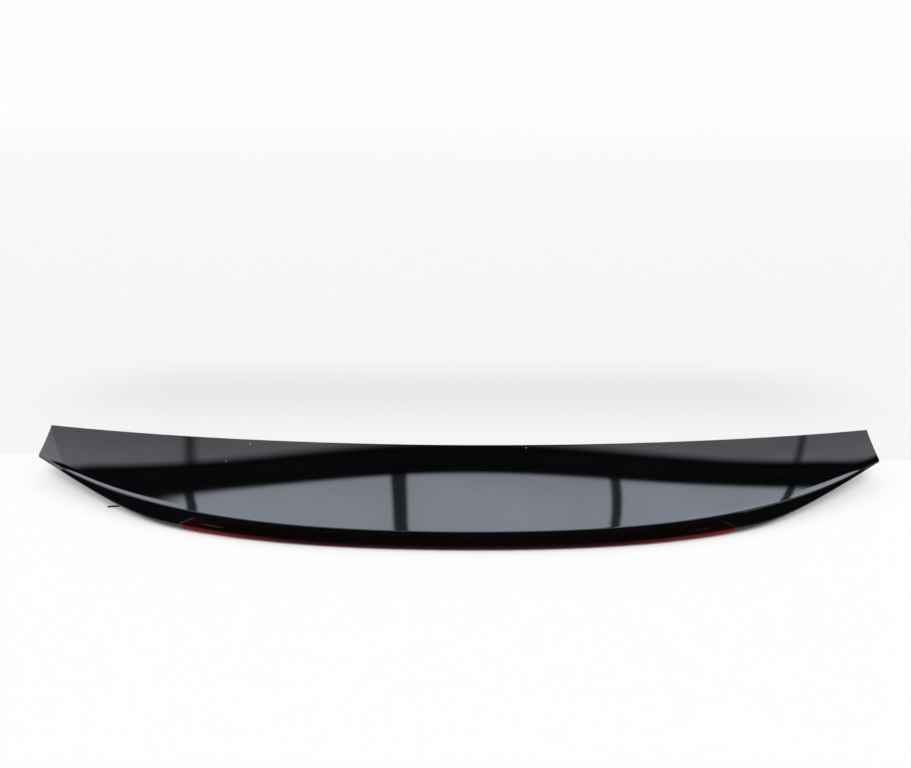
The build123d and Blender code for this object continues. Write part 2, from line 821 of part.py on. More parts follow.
def make_inner_lead():
    """Lead inside the shell, from the housing's socket to the middle of the grommet's inner lip."""
    lip = grommet_place() * Pos(0, 0, -shell_wall - seat_gap - grommet_lip)
    out = [socket_place() * Pos(0, ahead, rise) for ahead, rise in inner_lead_out]
    down = [lip * Pos(0, behind, -rise) for behind, rise in inner_lead_down]
    return tube([at.position for at in (*out, *down)], "lamp_inner_lead")


def save(name, pieces):
    pieces = pieces if isinstance(pieces, list) else [pieces]
    solids = [solid for piece in pieces for solid in piece.solids()]
    export_step(Compound(children=solids), f"parts/{name}.step")


os.makedirs("parts", exist_ok=True)
upper_skin, brake_lamp_lens = make_skin_and_lens()
lamp_end = (lamp_half - 2 * lamp_wall) / half_span
save("upper_skin", upper_skin)
save("brake_lamp_lens", brake_lamp_lens)
save("lower_shell", make_lower_shell())
save("brake_lamp_housing", make_housing())
save("brake_lamp_diffuser", carried(block(bar_corners(diffuser_ahead, diffuser_thick)), lamp_end, 9))
save("brake_lamp_board", carried(block(bar_corners(seat_gap, board_thick)), lamp_end, 9))
save("brake_lamp_diodes", make_diodes())
save("brake_lamp_foam", carried(block(foam_corners), lamp_end, 9))
save("brake_lamp_screws", [lamp_screw(x, y) for x, y in tab_places()])
save("lead_grommet", make_grommet())
save("brake_lamp_lead", make_lead())
save("lamp_inner_lead", make_inner_lead())
save("inner_studs", [stud(x, y) for x, y in inner_stud_places()])
save("outer_studs", [stud(x, y) for x, y in outer_stud_places()])
save("stud_seals", [stud_seal(x, y) for x, y in stud_places()])
save("shell_screws", [shell_screw(at) for at in screw_places()])
save("push_clips", [push_clip(x, y) for x, y in clip_places()])
save("front_seal", carried(seal_profile, seal_end, 17))
save("tip_tapes", make_tapes())
save("rubber_buffers", [rubber_buffer(x, y) for x, y in buffer_places()])
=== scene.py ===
import bmesh
import bpy
import numpy as np
from mathutils import Matrix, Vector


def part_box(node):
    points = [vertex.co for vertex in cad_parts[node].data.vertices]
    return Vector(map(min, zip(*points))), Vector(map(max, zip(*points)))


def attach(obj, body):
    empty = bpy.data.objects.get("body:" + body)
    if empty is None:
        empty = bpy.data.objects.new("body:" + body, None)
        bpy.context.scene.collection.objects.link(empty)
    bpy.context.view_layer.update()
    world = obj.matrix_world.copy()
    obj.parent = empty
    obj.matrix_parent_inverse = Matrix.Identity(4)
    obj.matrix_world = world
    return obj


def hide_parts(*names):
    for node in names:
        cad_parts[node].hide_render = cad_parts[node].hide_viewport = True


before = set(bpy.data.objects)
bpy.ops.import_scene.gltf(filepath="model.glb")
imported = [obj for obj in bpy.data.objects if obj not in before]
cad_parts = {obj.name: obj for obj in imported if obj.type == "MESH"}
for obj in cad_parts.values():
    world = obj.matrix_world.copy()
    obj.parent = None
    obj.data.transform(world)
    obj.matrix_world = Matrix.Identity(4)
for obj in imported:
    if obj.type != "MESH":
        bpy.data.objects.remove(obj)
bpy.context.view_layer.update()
mm = 0.001
print("frame loaded:", len(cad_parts), "nodes")

# camera of the photograph: place in metres, angles in degrees, focal length and picture width in pixels
view = {
    "place": (0.00066, -0.96355, 0.527), "pitch": 20.0, "yaw": -0.264, "roll": 0.236,
    "focal": 800.0, "width": 911.0, "sensor": 36.0,
}


def makeCamera():
    pitch, yaw, roll = (np.radians(view[k]) for k in ("pitch", "yaw", "roll"))
    ahead = np.array([np.sin(yaw) * np.cos(pitch), np.cos(yaw) * np.cos(pitch), -np.sin(pitch)])
    level = np.array([np.cos(yaw), -np.sin(yaw), 0.0])
    above = np.cross(level, ahead)
    right = level * np.cos(roll) + above * np.sin(roll)
    up = above * np.cos(roll) - level * np.sin(roll)
    data = bpy.data.cameras.new("camera")
    data.sensor_width = view["sensor"]
    data.lens = view["sensor"] * view["focal"] / view["width"]
    camera = bpy.data.objects.new("camera", data)
    turn = np.stack([right, up, -ahead], axis=1)
    camera.matrix_world = Matrix.Translation(view["place"]) @ Matrix(turn.tolist()).to_4x4()
    bpy.context.collection.objects.link(camera)
    bpy.context.scene.camera = camera


makeCamera()
print("camera set")

# materials: each is a node tree on Object coordinates


class Finish:
    def __init__(self, name):
        self.material = bpy.data.materials.new(name)
        self.material.use_nodes = True
        self.nodes = self.material.node_tree.nodes
        self.shader = self.nodes["Principled BSDF"]
        self.coords = self.nodes.new("ShaderNodeTexCoord").outputs["Object"]

    def wire(self, source, socket):
        self.material.node_tree.links.new(source, socket)
        return self

    def put(self, **values):  # constants straight on the shader's own sockets
        for key, value in values.items():
            self.shader.inputs[key.replace("_", " ")].default_value = value
        return self

    def noise(self, scale, detail=3.0, rough=0.5, stretch=None):
        node = self.nodes.new("ShaderNodeTexNoise")
        node.inputs["Scale"].default_value = scale
        node.inputs["Detail"].default_value = detail
        node.inputs["Roughness"].default_value = rough
        self.wire(self.stretched(stretch), node.inputs["Vector"])
        return node.outputs["Fac"]

    def cells(self, scale, feature="F1"):
        node = self.nodes.new("ShaderNodeTexVoronoi")
        node.feature = feature
        node.inputs["Scale"].default_value = scale
        self.wire(self.coords, node.inputs["Vector"])
        return node

    def axes(self):  # x, y and z of the Object coordinates
        node = self.nodes.new("ShaderNodeSeparateXYZ")
        self.wire(self.coords, node.inputs["Vector"])
        return node.outputs["X"], node.outputs["Y"], node.outputs["Z"]

    def stretched(self, stretch):
        if stretch is None:
            return self.coords
        node = self.nodes.new("ShaderNodeMapping")
        node.inputs["Scale"].default_value = stretch
        self.wire(self.coords, node.inputs["Vector"])
        return node.outputs["Vector"]

    def spread(self, source, low, high, start=0.0, end=1.0, soft=False):  # maps start..end to low..high
        node = self.nodes.new("ShaderNodeMapRange")
        node.interpolation_type = "SMOOTHSTEP" if soft else "LINEAR"
        for key, value in (("From Min", start), ("From Max", end), ("To Min", low), ("To Max", high)):
            node.inputs[key].default_value = value
        self.wire(source, node.inputs["Value"])
        return node.outputs["Result"]

    def math(self, kind, first, second):
        node = self.nodes.new("ShaderNodeMath")
        node.operation = kind
        for socket, value in zip(node.inputs, (first, second)):
            if isinstance(value, float):
                socket.default_value = value
            else:
                self.wire(value, socket)
        return node.outputs["Value"]

    def blend(self, factor, first, second):  # colours as numbers or sockets
        node = self.nodes.new("ShaderNodeMix")
        node.data_type = "RGBA"
        self.wire(factor, node.inputs["Factor"])
        for socket, value in ((node.inputs[6], first), (node.inputs[7], second)):
            if isinstance(value, tuple):
                socket.default_value = (*value, 1.0)
            else:
                self.wire(value, socket)
        return node.outputs[2]

    def bump(self, height, depth, strength=1.0):
        node = self.nodes.new("ShaderNodeBump")
        node.inputs["Distance"].default_value = depth
        node.inputs["Strength"].default_value = strength
        self.wire(height, node.inputs["Height"])
        self.wire(node.outputs["Normal"], self.shader.inputs["Normal"])
        return self

    def colour(self, source):
        return self.wire(source, self.shader.inputs["Base Color"])

    def rough(self, source):
        return self.wire(source, self.shader.inputs["Roughness"])

    def attribute(self, name):
        node = self.nodes.new("ShaderNodeAttribute")
        node.attribute_name = name
        return node.outputs["Fac"]


# a noise in a look is its scale and detail
glossBlackLook = {
    "black": (0.0011, 0.0011, 0.0014), "haze": (0.0022, 0.0022, 0.0027), "hazeNoise": (14.0, 3.0),
    "rough": (0.02, 0.05), "roughNoise": (9.0, 3.0), "peelNoise": (420.0, 2.0), "peel": 0.0000016,
    "dust": (0.45, 0.45, 0.44), "dustCells": 60.0, "dustSize": (0.030, 0.054), "dustAbove": 0.80,
    "dustRough": 0.5,
}


def glossBlack():  # faint haze and orange peel, with a few specks of dust
    look = glossBlackLook
    f = Finish("glossBlack")
    specks = f.cells(look["dustCells"])
    small = f.spread(specks.outputs["Distance"], 1.0, 0.0, *look["dustSize"])
    chosen = f.math("GREATER_THAN", specks.outputs["Color"], look["dustAbove"])
    dust = f.math("MULTIPLY", small, chosen)
    haze = f.blend(f.noise(*look["hazeNoise"]), look["black"], look["haze"])
    f.colour(f.blend(dust, haze, look["dust"]))
    dull = f.math("MULTIPLY", dust, look["dustRough"])
    f.rough(f.math("ADD", f.spread(f.noise(*look["roughNoise"]), *look["rough"]), dull))
    return f.bump(f.noise(*look["peelNoise"]), look["peel"]).put(IOR=1.5).material


# lens colours: deep is the lens's own dark red, the bright red is painted red light and edge is the colour of
# painted highlights
lensLook = {
    "deep": (0.0022, 0.0010, 0.0010), "paintedLitRed": (0.125, 0.0075, 0.013), "edge": (0.34, 0.29, 0.28),
    "waver": (0.8, 1.1), "waverNoise": 30.0, "waverStretch": (1.0, 0.2, 0.2),
    "rough": (0.04, 0.075), "roughNoise": (12.0, 3.0), "rippleNoise": (300.0, 2.0), "ripple": 0.000002,
}


def lensRed():  # dark red, with red light and highlights painted where the attributes of the lens say
    look = lensLook
    f = Finish("lensRed")
    waver = f.spread(f.noise(look["waverNoise"], stretch=look["waverStretch"]), *look["waver"])
    # painted light: the rim attribute, wavering with noise, blends the dark red towards the painted lit red
    body = f.blend(f.math("MULTIPLY", f.attribute("rim"), waver), look["deep"], look["paintedLitRed"])
    # painted highlights: the highlight attribute blends in the pale edge colour
    f.colour(f.blend(f.attribute("paintedHighlight"), body, look["edge"]))
    f.rough(f.spread(f.noise(*look["roughNoise"]), *look["rough"]))
    f.bump(f.noise(*look["rippleNoise"]), look["ripple"])
    return f.put(IOR=1.49, Specular_IOR_Level=0.035).material


def mottled(f, look, first, second):  # two shades and a roughness, each spread by its own noise
    f.colour(f.blend(f.noise(*look["mottle"]), first, second))
    f.rough(f.spread(f.noise(*look["roughNoise"]), *look["rough"]))


def toned(shade, share):
    return tuple(c * share for c in shade)


mouldLook = {"mottle": (22.0, 5.0), "lighter": 1.7, "rough": (0.42, 0.62), "roughNoise": (40.0, 4.0)}


def mouldedBlack(name, shade, grain, depth):
    f = Finish(name)
    mottled(f, mouldLook, shade, toned(shade, mouldLook["lighter"]))
    return f.bump(f.cells(grain, "SMOOTH_F1").outputs["Distance"], depth).material


rubberLook = {
    "mottle": (60.0, 5.0), "lighter": 1.6, "rough": (0.6, 0.85), "roughNoise": (90.0, 4.0),
    "grainDetail": 4.0,
}


def softRubber(name, shade, grain, depth):
    f = Finish(name)
    mottled(f, rubberLook, shade, toned(shade, rubberLook["lighter"]))
    return f.bump(f.noise(grain, rubberLook["grainDetail"]), depth).material


foamLook = {"cells": 1400.0, "darker": 0.5, "depth": 0.00012}


def openFoam(name, shade):
    f = Finish(name)
    pores = f.cells(foamLook["cells"]).outputs["Distance"]
    f.colour(f.blend(pores, toned(shade, foamLook["darker"]), shade))
    return f.bump(pores, foamLook["depth"]).put(Roughness=0.95).material


steelLook = {
    "mottle": (160.0, 5.0), "rough": (0.22, 0.42), "roughNoise": (500.0, 3.0),
    "grain": (1500.0, 2.0), "depth": 0.000006,
}


def platedSteel(name, light, warm):
    f = Finish(name)
    mottled(f, steelLook, light, warm)
    return f.bump(f.noise(*steelLook["grain"]), steelLook["depth"]).put(Metallic=1.0).material


plasticLook = {
    "mottle": (70.0, 4.0), "darker": 0.8, "rough": (0.3, 0.5), "roughNoise": (120.0, 3.0),
    "grain": (900.0, 3.0), "depth": 0.00001,
}


def smoothPlastic(name, shade):
    f = Finish(name)
    mottled(f, plasticLook, shade, toned(shade, plasticLook["darker"]))
    return f.bump(f.noise(*plasticLook["grain"]), plasticLook["depth"]).material


# shades, then scale and depth of the grain where a finish has its own
finishes = {
    "upperSkin": glossBlack(),
    "lens": lensRed(),
    "shell": mouldedBlack("grainedBlack", (0.012, 0.012, 0.0125), 1500.0, 0.00005),
    "housing": mouldedBlack("lampBlack", (0.010, 0.010, 0.010), 2600.0, 0.00002),
    "diffuser": smoothPlastic("frostedBar", (0.30, 0.02, 0.02)),
    "board": smoothPlastic("boardFace", (0.10, 0.11, 0.10)),
    "diode": smoothPlastic("diodeFace", (0.45, 0.36, 0.12)),
    "foam": openFoam("darkFoam", (0.035, 0.035, 0.037)),
    "screw": platedSteel("platedScrew", (0.62, 0.61, 0.59), (0.5, 0.49, 0.46)),
    "stud": platedSteel("platedStud", (0.64, 0.62, 0.55), (0.55, 0.5, 0.4)),
    "rubber": softRubber("blackRubber", (0.010, 0.010, 0.010), 900.0, 0.00004),
    "sheath": softRubber("leadSheath", (0.009, 0.009, 0.009), 1500.0, 0.00001),
    "clip": smoothPlastic("clipNylon", (0.62, 0.60, 0.54)),
    "tape": openFoam("tapeFoam", (0.11, 0.11, 0.115)),
}
print("finishes made:", len(finishes))

# lamp lead: the route of its CAD tube in millimetres, square out of the grommet lip first
lead = {
    "exit": (-290.0, 4.52, 12.59), "square": (0.0, 0.248, -0.969), "first": 5.2,
    "route": [
        (-294.0, 5.8, 3.2), (-302.0, 6.0, 1.3), (-315.0, 6.4, 1.2), (-338.0, 9.0, 1.2),
        (-372.0, 9.5, 1.2), (-408.0, 2.0, 1.2), (-442.0, -4.8, 1.2), (-471.5, -10.1, 1.2),
    ],
    "diameter": 2.2, "length": 190.3, "roundSteps": 6, "runSteps": 12,
}


def makeLead():
    # round tube along a NURBS line, with the route's points as its control points
    start = lead["exit"]
    points = [start, tuple(np.array(start) + lead["first"] * np.array(lead["square"])), *lead["route"]]
    data = bpy.data.curves.new("brakeLampLead", "CURVE")
    data.dimensions = "3D"
    data.bevel_depth = lead["diameter"] * mm / 2
    data.bevel_resolution = lead["roundSteps"]
    data.use_fill_caps = True
    line = data.splines.new("NURBS")
    line.points.add(len(points) - 1)
    line.points.foreach_set("co", np.array([(*(c * mm for c in p), 1.0) for p in points], float).ravel())
    line.order_u = 3
    line.use_endpoint_u = True
    line.resolution_u = lead["runSteps"]
    data.materials.append(finishes["sheath"])
    piece = bpy.data.objects.new("brakeLampLead", data)
    bpy.context.collection.objects.link(piece)
    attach(piece, "root")
    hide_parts("brake_lamp_lead")
    print("piece brakeLampLead,", len(points), "points")


# the form, in millimetres: s runs -1..1 across the span, u 0..1 from leading edge to crease
form = {
    "half": 600.0, "chord": 182.0, "inset": 3.0,
    "leadSweep": (0.0, 45.5), "leadHeight": 58.7, "leadRise": (27.0, -19.0),
    "creaseSweep": (90.5, 141.0, -47.1), "creaseHeight": 24.2, "creaseRise": (9.9, 4.0),
    "sag": 4.5, "sagChange": (1.5, -4.6), "skew": 0.29,
    "lipReach": 9.0, "lipRise": (0.0, 1.35), "lipFade": (0.86, 0.99),
    "faceTilt": 21.8, "tiltChange": 5.0, "tipEdge": 3.0, "liftStart": 0.66, "liftBlend": 0.07, "liftBow": 0.6,
    "roll": 7.3, "rollLeast": 0.3, "rollFade": 0.70, "rollPower": 8,
    "wall": 3.0, "drop": 3.046, "footRound": 0.8, "flange": 12.0, "strip": 14.0, "hollowEnd": 0.80,
    "nose": 5.0, "noseRound": 1.0, "creaseRound": 1.6, "tipRound": 1.0, "tipRoundFrom": (0.6, 0.9),
    "roundParts": 3.0, "tipParts": 1.5, "sharpAngle": 30.0,
}


def ramp(value, start, end):  # smooth step from 0 at start to 1 at end
    share = np.clip((value - start) / (end - start), 0.0, 1.0)
    return share ** 2 * (3 - 2 * share)


def even(s, terms):
    return sum(k * s ** (2 * n + 2) for n, k in enumerate(terms))


def leadZ(s):
    return form["leadHeight"] + even(s, form["leadRise"])


def creaseZ(s):
    return form["creaseHeight"] + even(s, form["creaseRise"])


def lowZ(s):  # flat on the table, then a bowed hyperbola that climbs to the tip
    def climb(p):
        return np.hypot(p - form["liftStart"], form["liftBlend"]) + p - form["liftStart"]
    share = (climb(np.abs(s)) - climb(0.0)) / (climb(1.0) - climb(0.0))
    return (share + form["liftBow"] * share * (1 - share)) * (creaseZ(1.0) - form["tipEdge"])


def tiltAt(s):
    return np.radians(form["faceTilt"] + form["tiltChange"] * s ** 2)


def rearShare(s):  # height of the rear against that on the centre line
    return (creaseZ(s) - lowZ(s)) / form["creaseHeight"]


def rollAt(s):  # in step with the height of the rear, nearly sharp at the tips
    share = rearShare(s) / (1 + (s / form["rollFade"]) ** form["rollPower"])
    return form["rollLeast"] + (form["roll"] - form["rollLeast"]) * share


def faceRun(s, reach):  # down the face to the start of a round whose centre lies this deep
    return (creaseZ(s) - lowZ(s) - reach * (1 + np.sin(tiltAt(s)))) / np.cos(tiltAt(s))


def faceLength(s):
    return faceRun(s, rollAt(s))


rearmost = -faceLength(0.0) * np.sin(tiltAt(0.0)) + rollAt(0.0) * np.cos(tiltAt(0.0)) - rollAt(0.0)
foremost = form["chord"] + even(1 - form["inset"] / form["half"], form["leadSweep"])
yShift = -(rearmost + foremost) / 2


def leadY(s):
    return form["chord"] + even(s, form["leadSweep"]) + yShift


def creaseY(s):
    return even(s, form["creaseSweep"]) + yShift


def chordAt(s):
    return leadY(s) - creaseY(s)


def topZ(s, u, lip=True):  # a straight fall less a skewed parabola, turned up by a parabola in the lip
    hollow = form["sag"] + even(s, form["sagChange"])
    dip = 4 * u * (1 - u) * (1 + form["skew"] * (1 - 2 * u))
    rise = even(s, form["lipRise"]) * (1 - ramp(np.abs(s), *form["lipFade"]))
    turn = np.maximum(1 - chordAt(s) * (1 - u) / form["lipReach"], 0.0) if lip else 0.0
    return leadZ(s) + (creaseZ(s) - rise - leadZ(s)) * u - hollow * dip + rise * turn ** 2


def roundCentre(s, reach):
    a, flat = tiltAt(s), faceRun(s, reach)
    y = creaseY(s) - flat * np.sin(a) + reach * np.cos(a)
    z = creaseZ(s) - flat * np.cos(a) - reach * np.sin(a)
    return y, z


def rearPath(s, p, depth, reach=None):
    # p millimetres down the rear face from the crease, then round its foot
    reach = rollAt(s) if reach is None else reach
    a, flat = tiltAt(s), faceRun(s, reach)
    down = np.minimum(p, flat)
    turn = a - np.maximum(p - flat, 0.0) / reach
    faceY = creaseY(s) - down * np.sin(a) + depth * np.cos(a)
    faceZ = creaseZ(s) - down * np.cos(a) - depth * np.sin(a)
    centreY, centreZ = roundCentre(s, reach)
    onRoll = p > flat
    return (np.where(onRoll, centreY - (reach - depth) * np.cos(turn), faceY),
            np.where(onRoll, centreZ + (reach - depth) * np.sin(turn), faceZ))


def rollFoot(s, angle, reach=None):  # path length to an angle below level on the round
    reach = rollAt(s) if reach is None else reach
    return faceRun(s, reach) + reach * (tiltAt(s) + angle)


def innerReach(s):  # depth of the centre of the round inside the foot, which is never sharp
    spare = (rollAt(s) - form["wall"]) / 2
    return form["wall"] + spare + np.hypot(spare, form["footRound"])


def flangeY(s):
    return roundCentre(s, innerReach(s))[0] + form["flange"] * rearShare(s)


def underZ(s, y):  # underside of tips and front strip, straight from the flange to the front edge
    share = (y - flangeY(s)) / (leadY(s) - flangeY(s))
    return lowZ(s) + share * (leadZ(s) - form["nose"] - lowZ(s))


def bowed(t, first, corner, last):  # quadratic through first and last, pulled to the corner
    k = ((1 - t) ** 2, 2 * t * (1 - t), t ** 2)
    return tuple(k[0] * a + k[1] * b + k[2] * c for a, b, c in zip(first, corner, last))


def straight(t, first, last):
    return tuple(a + (b - a) * t for a, b in zip(first, last))


joint = {"weld": 0.000002, "sharpAngle": 32.0}  # nearer points become one, edges over the angle stay sharp


def addPiece(name, points, faces, finish, replaced, sharp=joint["sharpAngle"], values=None):
    mesh = bpy.data.meshes.new(name)
    mesh.from_pydata(np.asarray(points) * mm, [], faces)
    for key, value in (values or {}).items():
        mesh.attributes.new(key, "FLOAT", "POINT").data.foreach_set("value", np.asarray(value, np.float32))
    work = bmesh.new()
    work.from_mesh(mesh)
    bmesh.ops.remove_doubles(work, verts=work.verts, dist=joint["weld"])
    bmesh.ops.recalc_face_normals(work, faces=work.faces)
    work.to_mesh(mesh)
    work.free()
    mesh.validate()
    mesh.shade_smooth()
    mesh.set_sharp_from_angle(angle=np.radians(sharp))
    mesh.materials.append(finishes[finish])
    piece = bpy.data.objects.new(name, mesh)
    bpy.context.collection.objects.link(piece)
    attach(piece, "root")
    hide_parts(*replaced)
    print("piece", name, len(mesh.polygons), "faces")


def gridFaces(index, closedRows=False, closedColumns=False):  # quads of a grid of vertex numbers
    a = np.concatenate([index, index[:1]]) if closedRows else index
    a = np.concatenate([a, a[:, :1]], axis=1) if closedColumns else a
    return np.stack([a[:-1, :-1], a[:-1, 1:], a[1:, 1:], a[1:, :-1]], axis=-1)


# brake lamp lens and its window: pointed ends given by height, lip under the crease, foot on the roll
lamp = {
    "half": 355.0, "pointZ": 11.5, "rakeUp": 2.1, "rakeDown": 1.15, "passes": 6,
    "lip": 7.0, "lipShare": 0.55, "lipClear": 1.05, "foot": 75.0,
    "wall": 2.5, "gap": 0.3, "edge": 0.5, "sharpAngle": 50.0,
}


def lampEnd(rowPoint, shape, gap):  # reach in x of each row, from its own height there
    reach = np.full(shape, lamp["half"])
    for _ in range(lamp["passes"]):
        _, z = rowPoint(reach / form["half"])
        above = z - lamp["pointZ"]
        reach = lamp["half"] + gap - np.where(above > 0, lamp["rakeUp"], -lamp["rakeDown"]) * above
    return reach


# points in each part of the skin's section and along its span, and how far they crowd towards the ends
skinRows = {
    "top": 84, "topCrowd": 0.4, "crease": 7, "lip": 6, "window": 26, "foot": 4, "flange": 4, "edge": 1,
    "inner": 40, "stripBack": 3, "strip": 5, "noseFace": 3, "nose": 6,
}
skinColumns = {"lamp": 171, "lampCrowd": 0.3, "side": 44, "tip": 60, "tipCrowd": 1.3}


def makeSkin():
    # section loop carried along the span: top, crease, face, roll, flange, then back inside to the nose
    n = skinRows
    foot = np.radians(lamp["foot"]) + lamp["gap"] / form["roll"]

    def col(t):
        return np.asarray(t)[:, None]

    def top(s, t):
        start, end = form["noseRound"] / chordAt(s), 1 - edgeRound(s) / chordAt(s)
        u = start + (end - start) * t
        return leadY(s) - chordAt(s) * u, topZ(s, u)

    def softer(s):  # 0 along the middle, 1 at the tips
        return ramp(np.abs(s), *form["tipRoundFrom"])

    def edgeRound(s):  # rounding of the crease changes towards the tips
        return form["creaseRound"] + (form["tipRound"] - form["creaseRound"]) * softer(s)

    def reach(s):
        share = faceLength(s) * (1 + form["tipParts"] * softer(s)) / form["roundParts"]
        return np.minimum(edgeRound(s), share)

    def crease(s, t):
        return bowed(t, top(s, 1.0), (creaseY(s), creaseZ(s)), rearPath(s, reach(s), 0.0))

    def lip(s, t):
        return rearPath(s, reach(s) + (windowTop(s) - reach(s)) * t, 0.0)

    def windowTop(s):
        lowest = lamp["lipClear"] * reach(s)
        return np.maximum(np.minimum(lamp["lip"], lamp["lipShare"] * faceLength(s)), lowest)

    def surface(s, inner):  # depth and centre depth of the outer or the inner side
        return (form["wall"], innerReach(s)) if inner else (0.0, rollAt(s))

    def window(s, t, inner=False):
        depth, deep = surface(s, inner)
        return rearPath(s, windowTop(s) + (rollFoot(s, foot, deep) - windowTop(s)) * t, depth, deep)

    def low(s, t, inner=False):
        depth, deep = surface(s, inner)
        start, end = (rollFoot(s, angle, deep) for angle in (foot, np.pi / 2))
        return rearPath(s, start + (end - start) * t, depth, deep)

    def flange(s, t, inner=False):
        y, z = low(s, 1.0, inner)
        return straight(t, (y, z), (flangeY(s), z))

    def innerStart(s):  # where the inner face meets the inner top
        return form["drop"] / np.cos(tiltAt(s)) - form["wall"] * np.tan(tiltAt(s))

    def innerTop(s, t):
        y0, _ = rearPath(s, innerStart(s), form["wall"])
        y1 = leadY(s) - form["strip"]
        y = y0 + (y1 - y0) * t
        return y, topZ(s, (leadY(s) - y) / chordAt(s), lip=False) - form["drop"]

    def innerLip(s, t):
        return rearPath(s, windowTop(s) + (innerStart(s) - windowTop(s)) * t, form["wall"])

    def stripBack(s, t):
        y = leadY(s) - form["strip"]
        return straight(t, innerTop(s, 1.0), (y, underZ(s, y)))

    def strip(s, t):
        y = leadY(s) - form["strip"] * (1 - t)
        return y, underZ(s, y)

    def nose(s, t):
        return straight(t, (leadY(s), leadZ(s) - form["nose"]), (leadY(s), leadZ(s) - form["noseRound"]))

    def noseRound(s, t):
        return bowed(t, nose(s, 1.0), (leadY(s), leadZ(s)), top(s, 0.0))

    def open01(count):  # 0 up to but not with 1: the next part starts there
        return np.arange(count) / count

    crowded = 0.5 - 0.5 * np.cos(np.pi * open01(n["top"]))
    topT = (1 - n["topCrowd"]) * open01(n["top"]) + n["topCrowd"] * crowded
    parts = {
        "top": (top, topT), "crease": (crease, open01(n["crease"])), "lip": (lip, open01(n["lip"])),
        "window": (window, open01(n["window"])), "low": (low, open01(n["foot"])),
        "flange": (flange, open01(n["flange"])),
        "edge": (lambda s, t: straight(t, flange(s, 1.0), flange(s, 1.0, True)), open01(n["edge"])),
        "innerFlange": (lambda s, t: flange(s, 1 - t, True), open01(n["flange"])),
        "innerLow": (lambda s, t: low(s, 1 - t, True), open01(n["foot"])),
        "innerWindow": (lambda s, t: window(s, 1 - t, True), open01(n["window"])),
        "innerLip": (innerLip, open01(n["lip"])), "innerTop": (innerTop, open01(n["inner"])),
        "stripBack": (stripBack, open01(n["stripBack"])), "strip": (strip, open01(n["strip"])),
        "nose": (nose, open01(n["noseFace"])), "noseRound": (noseRound, open01(n["nose"])),
    }
    ends = np.cumsum([len(t) for _, t in parts.values()])
    starts = np.concatenate([[0], ends[:-1]])
    startOf = dict(zip(parts, starts))
    insideFirst, insideLast = startOf["edge"], startOf["strip"]  # rows that close up in the solid tips

    def section(s):  # s has a row for each point of the loop
        got = [fn(s[a:b], col(t)) for (fn, t), a, b in zip(parts.values(), starts, ends)]

        def joined(k):
            return np.concatenate([np.broadcast_to(g[k], s[a:b].shape) for g, a, b in zip(got, starts, ends)])

        return joined(0), joined(1)

    def closedSection(s):
        y, z = section(s)
        share = col(np.linspace(0, 1, insideLast - insideFirst + 1))[:-1]
        sides = s[insideFirst:insideLast]
        y1 = leadY(sides) - form["strip"]
        yLine = flangeY(sides) + (y1 - flangeY(sides)) * share
        y[insideFirst:insideLast] = yLine
        z[insideFirst:insideLast] = underZ(sides, yLine)
        return y, z

    rows = ends[-1]
    windowRows = np.arange(startOf["window"], startOf["low"] + 1)
    innerRows = np.arange(startOf["innerWindow"], startOf["innerLip"] + 1)
    endX = lampEnd(section, (rows, 1), lamp["gap"])
    endX[:windowRows[0]] = endX[windowRows[0]]
    middle = np.arange(windowRows[-1], innerRows[0] + 1)
    endX[middle, 0] = np.linspace(endX[windowRows[-1], 0], endX[innerRows[0], 0], len(middle))
    endX[innerRows[-1]:] = np.linspace(endX[innerRows[-1], 0], endX[0, 0], rows - innerRows[-1])[:, None]
    wallX = form["half"] * form["hollowEnd"]
    tipY, _ = section(np.ones((rows, 1)))
    tipX = form["half"] - form["inset"] * np.clip((tipY - creaseY(1.0)) / chordAt(1.0), 0.0, 1.0)
    side = np.linspace(0, 1, skinColumns["side"] + 1)[None, 1:]
    tip = 1 - (1 - np.linspace(0, 1, skinColumns["tip"] + 1)[None, :]) ** skinColumns["tipCrowd"]
    bend = skinColumns["lampCrowd"] * np.pi
    lampX = endX * np.sin(bend * np.linspace(-1, 1, skinColumns["lamp"])[None, :]) / np.sin(bend)
    sideX = endX + (wallX - endX) * side
    outerX = wallX + (tipX - wallX) * tip
    blocks = [-outerX[:, ::-1], -sideX[:, ::-1], lampX, sideX, outerX]
    x = np.concatenate(blocks, axis=1)
    y, z = section(x / form["half"])
    tips = outerX.shape[1]
    for cut in (slice(0, tips), slice(x.shape[1] - tips, None)):
        y[:, cut], z[:, cut] = closedSection(x[:, cut] / form["half"])
    index = np.arange(x.size).reshape(x.shape)
    quads = gridFaces(index, closedRows=True)
    keep = np.ones(quads.shape[:2], bool)
    first = tips + sideX.shape[1]
    last = first + lampX.shape[1] - 1
    for band in (windowRows, innerRows):
        keep[band[0]:band[-1], first:last] = False
    rims = []
    back = innerRows[::-1]
    for outerRow, innerRow in ((windowRows[0], back[0]), (windowRows[-1], back[-1])):
        pair = index[[outerRow, innerRow], first:last + 1]
        rims.append(gridFaces(pair).reshape(-1, 4))
    for column in (first, last):
        pair = np.stack([index[windowRows, column], index[back, column]])
        rims.append(gridFaces(pair).reshape(-1, 4))
    faces = [*quads[keep].tolist(), *np.concatenate(rims).tolist()]
    faces += [index[:, 0].tolist(), index[::-1, -1].tolist()]
    points = np.stack([x, y, z], axis=-1).reshape(-1, 3)
    addPiece("upperSkin", points, faces, "upperSkin", ["upper_skin"], sharp=form["sharpAngle"])


# rows and columns of the lens crowd at its edges: shares of its height and of its half length
lensGrid = {
    "edgeRows": (0.0, 0.004, 0.012, 0.026), "rows": 28, "firstRow": 0.05,
    "endColumns": (0.9987, 0.9994, 0.9998, 1.0), "columns": 201, "lastColumn": 0.997,
}
